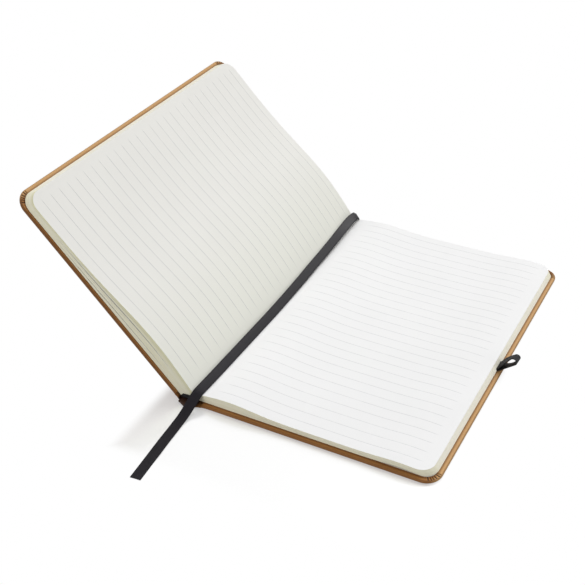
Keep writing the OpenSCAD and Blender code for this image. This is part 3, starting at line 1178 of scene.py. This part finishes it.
@dataclass
class CoverLeather:
    """Leather round one cover, drawn flat: rounded edges, turn-ins and pleated corners.

    Each cover class sets where its board starts, its fore edge, where its leather thins at the
    fold and where its groove lies.
    """

    book: Book
    edge_r: float = 0.95
    corner_r: float = 9.0
    least_r: float = 0.4
    turn_in: float = 15.0
    step_in: float = 0.15
    lip: float = 0.92
    pleats: int = 8
    pleat_depth: float = 0.42
    pleat_power: float = 1.4
    pleat_warp: float = 0.018
    pleat_start: Pair = (0.12, 0.35)
    pleat_stop: Pair = (0.93, 0.99)
    pleat_fade: Pair = (2.5, 6.0)
    pleat_rise: Pair = (0.75, 1.0)
    arc_steps: int = 84
    roll_steps: int = 6
    far_step: float = 11.0
    far_gap: float = 3.0
    arc_gap: float = 2.0
    fold_gap: float = 0.05
    tail_bulge: float = 3.8
    head_bulge: float = 1.2
    bulge_at: float = 1.0
    bulge_half: float = 5.5
    bulge_reach: float = 7.0
    # Paler fore edges, partly scuffing and partly painted light.
    wear_and_light_run: Pair = (4.2, 0.9)
    inner_wear_and_light: Pair = (1.0, 6.0)
    # Painted shade on the head and tail rims.
    rim_shade: float = 0.36
    shaded_rim: Pair = (0.1, 0.99)
    # A darker line along the rounded rim, and painted shadow under the leaves' overhang.
    dark_line: float = 0.4
    dark_line_shares: Pair = (0.7, 0.9)
    overhang_shadow_rows: Pair = (1.9, 3.0)
    # Painted shade in the joints by the spine, weaker on the outer face.
    shade_run: Pair = (3.5, 0.5)
    outer_shade: float = 0.3
    outer_to: float = 0.05
    fold_t: float = 0.55
    thin_from: float = 0.0
    thin_to: float = 0.8
    groove: float = 0.3
    groove_at: float = 2.1
    groove_half: float = 1.5
    paper_lap: float = 0.01
    board_rise: Pair = (0.5, 0.2)
    drop_run: float = 0.3
    sharp_deg: float = 35.0
    end: float = 0.0
    board: float = 0.0
    inner_rows: Tuple[float, ...] = (5.0, 2.2)
    outer_rows: Tuple[float, ...] = (1.4, 2.0, 2.8, 4.0, 6.0, 9.0)
    step_rows: Tuple[float, ...] = (-0.45, -0.25, -0.1, 0.05, 0.2, 0.4, 0.7)
    profile: Tuple[Pair, ...] = (
        (1.0, 0.0), (0.62, 0.03), (0.3, 0.12), (0.09, 0.27), (0.0, 0.44),
        (0.0, 0.56), (0.09, 0.73), (0.3, 0.88), (0.62, 0.97), (1.0, 1.0))

    def under(self, x: Array) -> Array:
        """Height of the outer face, with a shallow groove along the hinge."""
        return self.groove * hump(x, self.groove_at, self.groove_half)

    def over(self, x: Array) -> Array:
        """Height of the turned-in leather."""
        thin = 2 * self.book.leather_t
        return (thin - (thin - self.fold_t) * (1 - ease(x, self.thin_from, self.thin_to))
                + (self.book.cover_t - thin) * ease(x, self.board - self.board_rise[0],
                                                    self.board + self.board_rise[1]))

    def low(self, x: Array) -> Array:
        """Height inside the turn-ins: the bare leather, or hidden behind the pasted paper."""
        rise = self.book.cover_t - 2 * self.book.leather_t + self.paper_lap
        return self.book.leather_t + rise * ease(x, self.board - self.drop_run, self.board)

    def place(self, points: Array) -> Array:
        """Puts flat points where the cover lies."""
        return self.book.place_front(points)

    def _half_outline(self, columns: Sequence[float], inset: float, bulge: float) -> Array:
        """The tail half of an outline, from the spine side to the middle of the fore edge's arc.

        Args:
            columns: Places along the long edge, from the spine side.
            inset: Distance in from the outline.
            bulge: How far the spine's rounded end stands out.

        Returns:
            Rows of place across the cover, place along it and angle round the corner, 0 to 1.
        """
        radius = max(self.corner_r - inset, self.least_r)
        half = self.book.half_len - inset
        puff = bulge * max(0.0, 1 - inset / self.bulge_reach)
        columns = np.array(columns)
        turn = np.linspace(0, 1, self.arc_steps + 1)
        angle = turn * math.pi / 2
        return np.vstack([
            points_of(columns, -half - puff * hump(columns, self.bulge_at, self.bulge_half), 0.0),
            points_of(self.end - inset - radius + radius * np.sin(angle),
                      -half + radius - radius * np.cos(angle), turn)])

    def _ring(self, columns: Sequence[float], inset: float) -> Array:
        """A whole outline: the tail half and its mirror image back along the head."""
        tail, head = (self._half_outline(columns, inset, bulge)
                      for bulge in (self.tail_bulge, self.head_bulge))
        return np.vstack([tail, head[::-1] * np.array([1, -1, 1])])

    def _levels(self) -> List[Pair]:
        """Rows of the shell: distance in from the outline and share of the height.

        Returns:
            The rows from the outer face round the edge to the turn-in; a share below 0 drops the
            last one inside it.
        """
        inner = [(a, 0.0) for a in (self.turn_in, *self.inner_rows)]
        edge = [(a * self.edge_r, b) for a, b in self.profile]
        outer = [(a, 1.0) for a in (*self.outer_rows, self.turn_in - self.step_in)]
        return inner + edge + outer + [(self.turn_in, self.lip), (self.turn_in, -1.0)]

    def _folds(self, turn: Array) -> Array:
        """How deep in a pleat a place round a corner is, 0 to 1."""
        warped = turn + self.pleat_warp * np.sin(turn * math.tau * 2)
        wave = 0.5 - 0.5 * np.cos(math.tau * self.pleats * warped)
        return (wave ** self.pleat_power * ease(turn, *self.pleat_start)
                * (1 - ease(turn, *self.pleat_stop)))

    def _row(self, ring: Array, inset: float, share: float) -> Tuple[Array, Array, Array]:
        """One row of the shell.

        Args:
            ring: Its outline.
            inset: Distance in from the cover's outline.
            share: Share of the height, or below 0 for the drop inside the turn-in.

        Returns:
            The flat points, how much painted shade each carries, and how far it is paled towards the fore
            edge by scuffing and painted light.
        """
        x = ring[:, 0]
        bottom, top = self.under(x), self.over(x)
        # The pleats dent the leather, and their grooves also get painted shade.
        dent = (self._folds(ring[:, 2]) * (1 - ease(inset, *self.pleat_fade))
                * ease(share, *self.pleat_rise))
        height = self.low(x) if share < 0 else bottom + share * (top - bottom)
        # Painted shade in the joints by the spine, weaker on the outer face.
        shade = 1 - ease(x, self.board - self.shade_run[0], self.board - self.shade_run[1])
        if 0 <= share < self.outer_to:
            shade = shade * self.outer_shade
        # Paler towards the fore edge: partly scuffing, partly painted light; the painted rim shade stays off
        # it.
        wear_and_light = ease(x, self.end - self.wear_and_light_run[0], self.end - self.wear_and_light_run[1])
        # A darker line along the upper part of the rounded rim, and painted shadow on the rows under the
        # leaves' overhang.
        dark_line = (self.dark_line_shares[0] < share < self.dark_line_shares[1]
                  or share == 1 and self.overhang_shadow_rows[0] < inset < self.overhang_shadow_rows[1])
        # Painted shade on the head and tail rims, away from the lit fore edge.
        shaded_rim = self.shaded_rim[0] < share < self.shaded_rim[1]
        darker = np.maximum(self.dark_line * dark_line, self.rim_shade * (1 - wear_and_light) * shaded_rim)
        worn_and_lit = wear_and_light * (1 if share > 0 else 1 - ease(inset, *self.inner_wear_and_light))
        return (points_of(x, ring[:, 1], height - self.pleat_depth * dent),
                np.maximum(np.maximum(dent, shade), darker), worn_and_lit)

    def _shell(self, columns: Sequence[float], body: str, node: str,
               material: bpy.types.Material) -> bpy.types.Object:
        """Makes the closed leather shell and rides it on its cover.

        Args:
            columns: Places along the long edge, from the spine side.
            body: The cover.
            node: The CAD node that it stands for.
            material: The leather.

        Returns:
            The piece.
        """
        rows = [self._row(self._ring(columns, inset), inset, share) for inset, share in self._levels()]
        points, crease, worn_and_lit = (np.array(part) for part in zip(*rows))
        draft = Draft()
        # Marks: painted shade, and paler fore edges from scuffing and painted light.
        draft.grid(self.place(points), points[..., :2], edge=worn_and_lit, crease=crease)
        half = points.shape[1] // 2
        for ring in (points[0], points[-1]):
            pair = np.stack([ring[:half], ring[half:][::-1]], 1)
            draft.grid(self.place(pair), pair[..., :2])
        open_end = np.vstack([points[:, 0], points[::-1, -1]])
        draft.cap(self.place(open_end), open_end[:, :2])
        piece = draft.build(f"{body}_leather", [material], self.sharp_deg)
        return settle(piece, body, node)

    def _columns(self, start: float, fold: float, details: Sequence[float]) -> List[float]:
        """Places along a cover's long edge.

        Args:
            start: The spine side.
            fold: Where the roll round the fold ends; the same as start where there is none.
            details: Places of the steps between boards and joints.

        Returns:
            The places in order.
        """
        rolled = list(np.linspace(start, fold, self.roll_steps + 1)[:-1]) if fold > start else []
        steps = sorted({round(d + k, 4) for d in details for k in self.step_rows
                        if d + k > fold + self.fold_gap})
        last = self.end - self.turn_in - self.arc_gap
        far = list(np.arange(steps[-1] + self.far_gap, last, self.far_step))
        return rolled + [fold] + steps + far + [last]


@dataclass
class BackLeather(CoverLeather):
    """Leather of the back cover, the spine strip and the fold that the front cover turns on."""

    card_rise: Pair = (0.5, 0.05)
    fold_lap: float = 0.1
    groove_out: float = 0.4
    groove_steps: float = 0.6

    def __post_init__(self) -> None:
        """Takes the places of the card, the board, the fold and the groove from the book."""
        book = self.book
        self.card = book.spine_board_w / 2
        self.board = book.back_x + book.joint_w
        self.end = book.back_edge
        self.thin_from, self.thin_to = book.fold_x - self.fold_lap, book.fold_x + self.thin_to
        self.middle = (self.card + self.board) / 2
        self.groove_at = self.middle + self.groove_out

    def over(self, x: Array) -> Array:
        """Height of the turned-in leather, over the card strip too."""
        out, lap = self.card_rise
        card = ease(x, -self.card - out, lap - self.card) - ease(x, self.card - lap, self.card + out)
        return super().over(x) + self.book.spine_board_t * card

    def low(self, x: Array) -> Array:
        """Height inside the turn-ins, over the card strip too."""
        run = self.drop_run
        card = ease(x, -self.card - run, -self.card) - ease(x, self.card, self.card + run)
        return super().low(x) + (self.book.spine_board_t + self.paper_lap) * card

    def place(self, points: Array) -> Array:
        """Puts flat points where the back cover lies."""
        return self.book.place_back(points)

    def build(self, material: bpy.types.Material) -> bpy.types.Object:
        """Makes the piece and rides it on the back cover.

        Args:
            material: The leather.

        Returns:
            The piece.
        """
        fold = self.book.fold_x
        details = [-self.card, 0.0, self.card, self.middle - self.groove_steps,
                   self.middle + self.groove_steps, self.board]
        columns = self._columns(fold - self.book.lean * self.book.fold_r, fold, details)
        return self._shell(columns, "back_cover", "back_leather", material)


@dataclass
class FrontLeather(CoverLeather):
    """Leather of the front cover, from the fold to its fore edge."""

    tail_bulge: float = 0.0
    head_bulge: float = 0.0
    # Stronger painted shade on this cover's head and tail rims.
    rim_shade: float = 0.6
    edge_r: float = 0.7
    groove_half: float = 1.0
    groove_from: float = 0.6
    details: Triple = (0.6, 1.5, 2.6)

    def __post_init__(self) -> None:
        """Takes the places of the board and the fore edge from the book."""
        self.board, self.end = self.book.joint_w, self.book.cover_w

    def under(self, x: Array) -> Array:
        """Height of the outer face; the groove starts clear of the fold."""
        return super().under(x) * ease(x, 0.0, self.groove_from)

    def build(self, material: bpy.types.Material) -> bpy.types.Object:
        """Makes the piece and rides it on the front cover."""
        columns = self._columns(0.0, 0.0, [*self.details, self.board])
        return self._shell(columns, "front_cover", "front_leather", material)


@dataclass(frozen=True)
class Bundle:
    """Leaves that lie close together, between two shares of a stack's height."""

    stack: Stack
    low: float
    high: float
    air_under: float = 0.0
    air_over: float = 0.0


@dataclass(frozen=True)
class Leaf:
    """One leaf, by the points of its line across the notebook, from the fore edge to the back.

    line holds their X and Z, half half the leaf's length in Y there, run their distance from the
    fold, and creep how far the leaf has crept towards the tail.
    """

    line: Array
    half: Array
    run: Array
    creep: float

    def sheet(self, across: Array) -> Tuple[Array, Array]:
        """The leaf's whole face and its flat places, from shares of half its length."""
        y = self.half[:, None] * across - self.creep
        return points_of(self.line[:, :1], y, self.line[:, 1:]), points_of(self.run[:, None], y)


@dataclass
class Leaves:
    """All the leaves: bundles that fan on the left and lie on the right."""

    book: Book
    left_cuts: Tuple[Pair, ...] = (
        (0.0, 0.0), (0.24, 0.5), (0.43, 0.06), (0.62, 0.8), (0.82, 0.14), (1.0, 0.0))
    right_cuts: Tuple[Pair, ...] = ((0.0, 0.0), (0.3, 0.1), (0.66, 0.14), (1.0, 0.0))
    tail_creep: float = 1.0
    gap_from: float = 12.0
    gap_end_in: float = 24.5
    gutter_left: float = 1.0
    gutter_right: float = 5.0
    lowest_right: float = 8.6
    heel_reach: float = 2.2
    foot_x: float = 8.2
    foot_run: float = 5.6
    foot_rise: float = 0.4
    foot_middle: float = 2.1
    foot_lift: float = 4.0
    bend_out: float = 0.38
    bend_into: float = 0.42
    flat_height: float = 10.0
    # Heights over which painted shade comes in on the upper leaves' edges.
    upper_shade_from: float = 6.5
    upper_shade_to: float = 9.0
    corner_steps: int = 12
    body_steps: int = 44
    bend_steps: int = 12
    rows_along: int = 25
    leaf_rows: int = 44
    ragged: float = 0.07
    seed: int = 7
    sharp_deg: float = 30.0

    def __post_init__(self) -> None:
        """Draws how far each row of leaves stands back from the trimmed edge."""
        draw = np.random.default_rng(self.seed)
        self.stand_back = {stack: draw.uniform(0, self.ragged, self.leaf_rows + 1) for stack in Stack}

    def _bundles(self, stack: Stack) -> List[Bundle]:
        """The bundles of one stack."""
        cuts = self.left_cuts if stack is Stack.LEFT else self.right_cuts
        return [Bundle(stack, low, high, under, over) for (low, under), (high, over) in zip(cuts, cuts[1:])]

    def _foot(self, share: float, stack: Stack) -> Tuple[Array, Array]:
        """Where a leaf is glued to the back, and the direction in which it leaves it.

        Args:
            share: Its share of the stack's height.
            stack: Its half of the notebook.

        Returns:
            X and Z of the place, and a direction of length 1.
        """
        book = self.book
        centre_x, centre_z = book.heel
        if stack is Stack.RIGHT:
            turn = share ** self.foot_rise * math.pi / 2
            return (np.array([self.foot_x - self.foot_run * share, book.seat]),
                    np.array([math.cos(turn), math.sin(turn)]))
        arc = book.lean * book.heel_r
        run = share * (arc + self.foot_middle - centre_x)
        if run >= arc:
            return np.array([centre_x + run - arc, book.seat]), np.array([0.0, 1.0])
        angle = book.lean - run / book.heel_r
        inwards = np.array([math.sin(angle), math.cos(angle)])
        outwards = np.array([-math.cos(book.lean), math.sin(book.lean)])
        lift = min(share * self.foot_lift, 1.0)
        return book.heel - book.heel_r * inwards, unit(lift * inwards + (1 - lift) * outwards)

    def _leaf(self, bundle: Bundle, share_in: float) -> Leaf:
        """One leaf's line across the notebook.

        Args:
            bundle: Its bundle.
            share_in: Its share of the bundle's height.

        Returns:
            The leaf.
        """
        book = self.book
        share = bundle.low + (bundle.high - bundle.low) * share_in
        short = float(np.interp(share, np.linspace(0, 1, self.leaf_rows + 1), self.stand_back[bundle.stack]))
        left = bundle.stack is Stack.LEFT
        end = (book.cover_w if left else book.back_edge) - book.page_inset - book.fore_slant * share - short
        radius = book.page_corner_r
        turns = np.linspace(math.pi / 2, 0, self.corner_steps + 1)
        start = (-self.gutter_left + (1 - share) * (book.heel_s + self.heel_reach) if left
                 else self.lowest_right * (1 - share) + self.gutter_right * share)
        body = np.linspace(end - radius, start, self.body_steps + 1)[1:]
        along = np.concatenate([end - radius + radius * np.sin(turns), body])
        wide = book.page_half - short
        half = np.concatenate([wide - radius + radius * np.cos(turns),
                               np.full(self.body_steps + self.bend_steps, wide)])
        gap_run = book.cover_w - book.page_inset - self.gap_end_in - self.gap_from
        swell = np.sin(np.clip((along - self.gap_from) / gap_run, 0, 1) * math.pi)
        air = ((1 - share_in) * bundle.air_under - share_in * bundle.air_over) / 2 * swell
        if left:
            line = book.front(along, book.seat + share * (book.front_top(along) - book.seat) + air)
        else:
            under = book.back_under(along)
            line = points_of(along, under + share * (book.back_top(along) - under) + air)
        spot, way = self._foot(share, bundle.stack)
        reach = float(np.linalg.norm(line[-1] - spot))
        onwards = unit(line[-1] - line[-2])
        bend = bezier(line[-1], line[-1] + onwards * reach * self.bend_out,
                      spot + way * reach * self.bend_into, spot, self.bend_steps)
        run = along[-1] - np.linspace(0, reach, self.bend_steps + 1)[1:]
        return Leaf(np.vstack([line, bend]), half, np.concatenate([along, run]),
                    self.tail_creep * (1 - share) if left else 0.0)

    def _add(self, draft: Draft, bundle: Bundle) -> None:
        """Adds one closed bundle.

        Args:
            draft: Where it goes.
            bundle: The bundle.
        """
        across = np.linspace(-1, 1, self.rows_along)
        count = max(2, round((bundle.high - bundle.low) * self.leaf_rows))
        leaves = [self._leaf(bundle, k / count) for k in range(count + 1)]
        face = Face.PAGE if bundle.high == 1.0 else Face.PLAIN
        draft.grid(*leaves[-1].sheet(across), face.value)
        draft.grid(*leaves[0].sheet(across), Face.PLAIN.value, flip=True)
        heights = np.linspace(bundle.low, bundle.high, count + 1)[:, None] * self.flat_height
        lines, halves, runs = (np.array([getattr(leaf, part) for leaf in leaves])
                               for part in ("line", "half", "run"))
        creeps = np.array([[leaf.creep] for leaf in leaves])
        # Painted shade on the head and tail edges of the left stack's upper leaves.
        upper = ease(heights, self.upper_shade_from, self.upper_shade_to) * (bundle.stack is Stack.LEFT)
        for side in (-1, 1):
            rows = points_of(lines[..., 0], side * halves - creeps, lines[..., 1])
            draft.grid(rows, points_of(runs, heights), Face.EDGE.value, flip=side > 0,
                       crease=np.broadcast_to(upper, runs.shape))
        # The fore edge is marked for its painted light.
        for index in (0, -1):
            y = halves[:, index, None] * across - creeps
            rows = points_of(lines[:, index, :1], y, lines[:, index, 1:])
            draft.grid(rows, points_of(y, heights), Face.EDGE.value, flip=index < 0,
                       edge=np.full(y.shape, 1.0 if index == 0 else 0.0))

    def build(self, stack: Stack, materials: Sequence[bpy.types.Material]) -> bpy.types.Object:
        """Makes the leaves of one half.

        Args:
            stack: Which half.
            materials: One for each kind of face.

        Returns:
            The piece.
        """
        draft = Draft()
        for bundle in self._bundles(stack):
            self._add(draft, bundle)
        piece = draft.build(f"{stack.value}_leaves", materials, self.sharp_deg)
        return settle(piece, "pages", "text_block")


@dataclass
class SpineBand:
    """Ribbed cotton band across one end of the rounded back."""

    book: Book
    side: int
    height: float = 2.1
    depth: float = 2.1
    end_x: float = 3.7
    end_run: float = 0.5
    end_least: float = 0.2
    rib: float = 0.75
    rib_depth: float = 0.12
    boxiness: float = 1.15
    steps_along: int = 150
    steps_round: int = 21
    sharp_deg: float = 60.0

    def build(self, name: str, node: str, material: bpy.types.Material) -> bpy.types.Object:
        """Makes the band and rides it on the pages.

        Args:
            name: The piece's name.
            node: The CAD node that it stands for.
            material: Its ribbed cotton.

        Returns:
            The band.
        """
        book = self.book
        arc = book.lean * book.heel_r
        runs = np.linspace(0, arc + self.end_x - book.heel[0], self.steps_along)
        angle = np.clip(book.lean - runs / book.heel_r, 0, None)
        inwards = points_of(np.sin(angle), np.cos(angle))
        base = book.heel - book.heel_r * inwards
        base[:, 0] += np.clip(runs - arc, 0, None)
        to_end = np.clip(np.minimum(runs, runs[-1] - runs) / self.end_run, 0, 1)
        full = 1 - 0.5 * (np.cos(runs * math.tau / self.rib) + 1) * self.rib_depth
        full = full * np.minimum(1, np.sqrt(to_end) * (1 - self.end_least) + self.end_least)
        rows, flat = [], []
        for turn in np.linspace(0, math.tau, self.steps_round):
            out = np.clip(math.cos(turn) * self.boxiness, -1, 1) * 0.5 + 0.5
            rise = (0.5 + math.sin(turn) * 0.5 * full) * self.height
            spot = base + inwards * rise[:, None]
            y = self.side * (book.page_half + out * self.depth * full)
            rows.append(points_of(spot[:, 0], y, spot[:, 1]))
            flat.append(points_of(runs, turn))
        draft = Draft()
        draft.tube(np.array(rows), np.array(flat))
        return settle(draft.build(name, [material], self.sharp_deg), "pages", node)


@dataclass(frozen=True)
class LoopEdge:
    """One edge of the pen loop's tape, seen from the tail."""

    y: float
    reach: float
    tilt: float
    tip_r: float
    belly: float
    bow: float


@dataclass
class PenLoop:
    """Flat elastic tape, its ends glued together under the last leaves, a little skewed."""

    book: Book
    near: LoopEdge = LoopEdge(y=-7.5, reach=11.8, tilt=46.6, tip_r=2.34, belly=0.0, bow=0.1)
    far: LoopEdge = LoopEdge(y=0.7, reach=10.4, tilt=38.2, tip_r=1.95, belly=1.4, bow=0.6)
    thick: float = 0.6
    rim: float = 0.2
    end_run: float = 9.8
    bend_in: float = 1.5
    root_r: float = 0.72
    root_in: float = 2.3
    upper_root: float = 0.75
    upper_turn: float = 0.55
    limb_steps: int = 9
    root_points: int = 5
    tip_points: int = 26
    end_steps: Tuple[int, int, int] = (5, 2, 4)
    sharp_deg: float = 50.0

    def _line(self, edge: LoopEdge) -> Array:
        """Middle line of the tape along one of its edges.

        Args:
            edge: The edge.

        Returns:
            X and Z of its points, from the lower glued end to the upper one.
        """
        tilt = math.radians(edge.tilt)
        root = np.array([self.book.back_edge - self.root_in, self.book.cover_t + self.root_r])
        out = np.array([math.cos(tilt), math.sin(tilt)])
        normal = np.array([-out[1], out[0]])
        root_r, tip_r = self.root_r - self.thick / 2, edge.tip_r - self.thick / 2
        spread = math.acos((root_r - tip_r) / edge.reach)

        def arc(centre: Array, radius: float, first: float, last: float, count: int) -> Array:
            """Points on an arc, angles from the X axis."""
            angles = np.linspace(first, last, count)
            return centre + radius * points_of(np.cos(angles), np.sin(angles))

        def limb(start: Array, end: Array, bow: float) -> Array:
            """Points between two arcs, bowed towards the upper side."""
            share = np.linspace(0, 1, self.limb_steps + 1)[1:-1, None]
            return start + (end - start) * share + bow * np.sin(math.pi * share) * normal

        lower_in = np.array([root[0] - self.end_run, self.book.cover_t + self.thick / 2])
        upper_in = lower_in + [0, self.thick]
        bend = upper_in + [self.end_run - self.bend_in, 0]
        lower = arc(root, root_r, -math.pi / 2, tilt - spread, self.root_points)
        tip = arc(root + edge.reach * out, tip_r, tilt - spread, tilt + spread, self.tip_points)
        upper = arc(root, root_r * self.upper_root, tilt + spread, math.pi * self.upper_turn,
                    self.root_points)
        ends = ((lower_in, lower[0]), (upper[-1], bend), (bend, upper_in))
        first, second, third = (np.linspace(*pair, steps + 1) for pair, steps in zip(ends, self.end_steps))
        return np.vstack([first[:-1], lower, limb(lower[-1], tip[0], -edge.belly), tip,
                          limb(tip[-1], upper[0], edge.bow), upper, second[1:], third[1:]])

    def build(self, material: bpy.types.Material) -> bpy.types.Object:
        """Sweeps the tape and rides it on the back cover.

        Args:
            material: The elastic.

        Returns:
            The loop.
        """
        near, far = self._line(self.near), self._line(self.far)
        width = self.far.y - self.near.y
        run = travelled((near + far) / 2)
        rows, flat = [], []
        for a, b in tape_section(width, self.thick, self.rim):
            share = a / width + 0.5
            line = near * (1 - share) + far * share
            along = unit(np.gradient(line, axis=0))
            spot = line + points_of(-along[:, 1], along[:, 0]) * b
            rows.append(points_of(spot[:, 0], (self.near.y + self.far.y) / 2 + a, spot[:, 1]))
            flat.append(points_of(a, run))
        draft = Draft()
        draft.tube(np.array(rows), np.array(flat))
        LOG.info("pen loop: %.1f mm of tape", run[-1])
        piece = draft.build("pen_loop_tape", [material], self.sharp_deg)
        return settle(piece, "back_cover", "pen_loop")


@dataclass
class Notebook:
    """The whole notebook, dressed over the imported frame."""

    nodes: Mapping[str, bpy.types.Object]
    book: Book
    left_margin: float = 4.5
    right_margin: float = 6.0

    def build(self) -> None:
        """Makes every piece in order."""
        RibbonMarker(self.book).build(RibbonFinish())
        self._covers()
        self._leaves()
        self._trim()
        self._carried_nodes()

    def _covers(self) -> None:
        """The leather of both covers."""
        leather = LeatherFinish().build()
        BackLeather(self.book).build(leather)
        FrontLeather(self.book).build(leather)

    def _leaves(self) -> None:
        """The leaves of both halves."""
        book = self.book
        leaves = Leaves(book)
        edge = EdgeFinish().build()
        plain = PageFinish(name="plain_page", ruled=False).build()
        trimmed = book.page_inset + book.fore_slant
        # The two pages are one paper: the left one is a darker, warmer copy, painted shade, and it also gets
        # painted shade towards the fold.
        left = PageFinish(name="left_page", paper=linear(245, 244, 239), first=6.0, gutter_shade_share=0.65,
                          last=book.cover_w - trimmed - self.left_margin)
        right = PageFinish(name="right_page", paper=linear(250, 250, 250), first=16.0, strength=0.55,
                           last=book.back_edge - trimmed - self.right_margin)
        for stack, page in ((Stack.LEFT, left), (Stack.RIGHT, right)):
            leaves.build(stack, [page.build(), edge, plain])

    def _trim(self) -> None:
        """The bands and the pen loop."""
        cotton = ElasticFinish(name="black_cotton", rib=0.75, pick=0.5).build()
        SpineBand(self.book, 1).build("head_band_roll", "head_band", cotton)
        SpineBand(self.book, -1).build("tail_band_roll", "tail_band", cotton)
        PenLoop(self.book).build(ElasticFinish().build())

    def _carried_nodes(self) -> None:
        """Better materials for the CAD nodes that stay."""
        board = BoardFinish().build()
        paper = PageFinish(name="pasted_paper", paper=linear(238, 236, 226), ruled=False).build()
        lining = LiningFinish().build()
        finishes = {"back_board": board, "front_board": board, "spine_board": board,
                    "back_endpaper": paper, "front_endpaper": paper, "spine_lining": lining}
        for name, material in finishes.items():
            slots = self.nodes[name].data.materials
            slots.clear()
            slots.append(material)
            LOG.info("%s: %s", name, material.name)


def main() -> None:
    """Builds the studio and the notebook over the frame."""
    logging.basicConfig(level=logging.INFO, format="%(name)s: %(message)s")
    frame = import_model()
    Studio().build()
    Notebook(frame["nodes"], Book.from_frame(frame)).build()


if __name__ == "__main__":
    main()
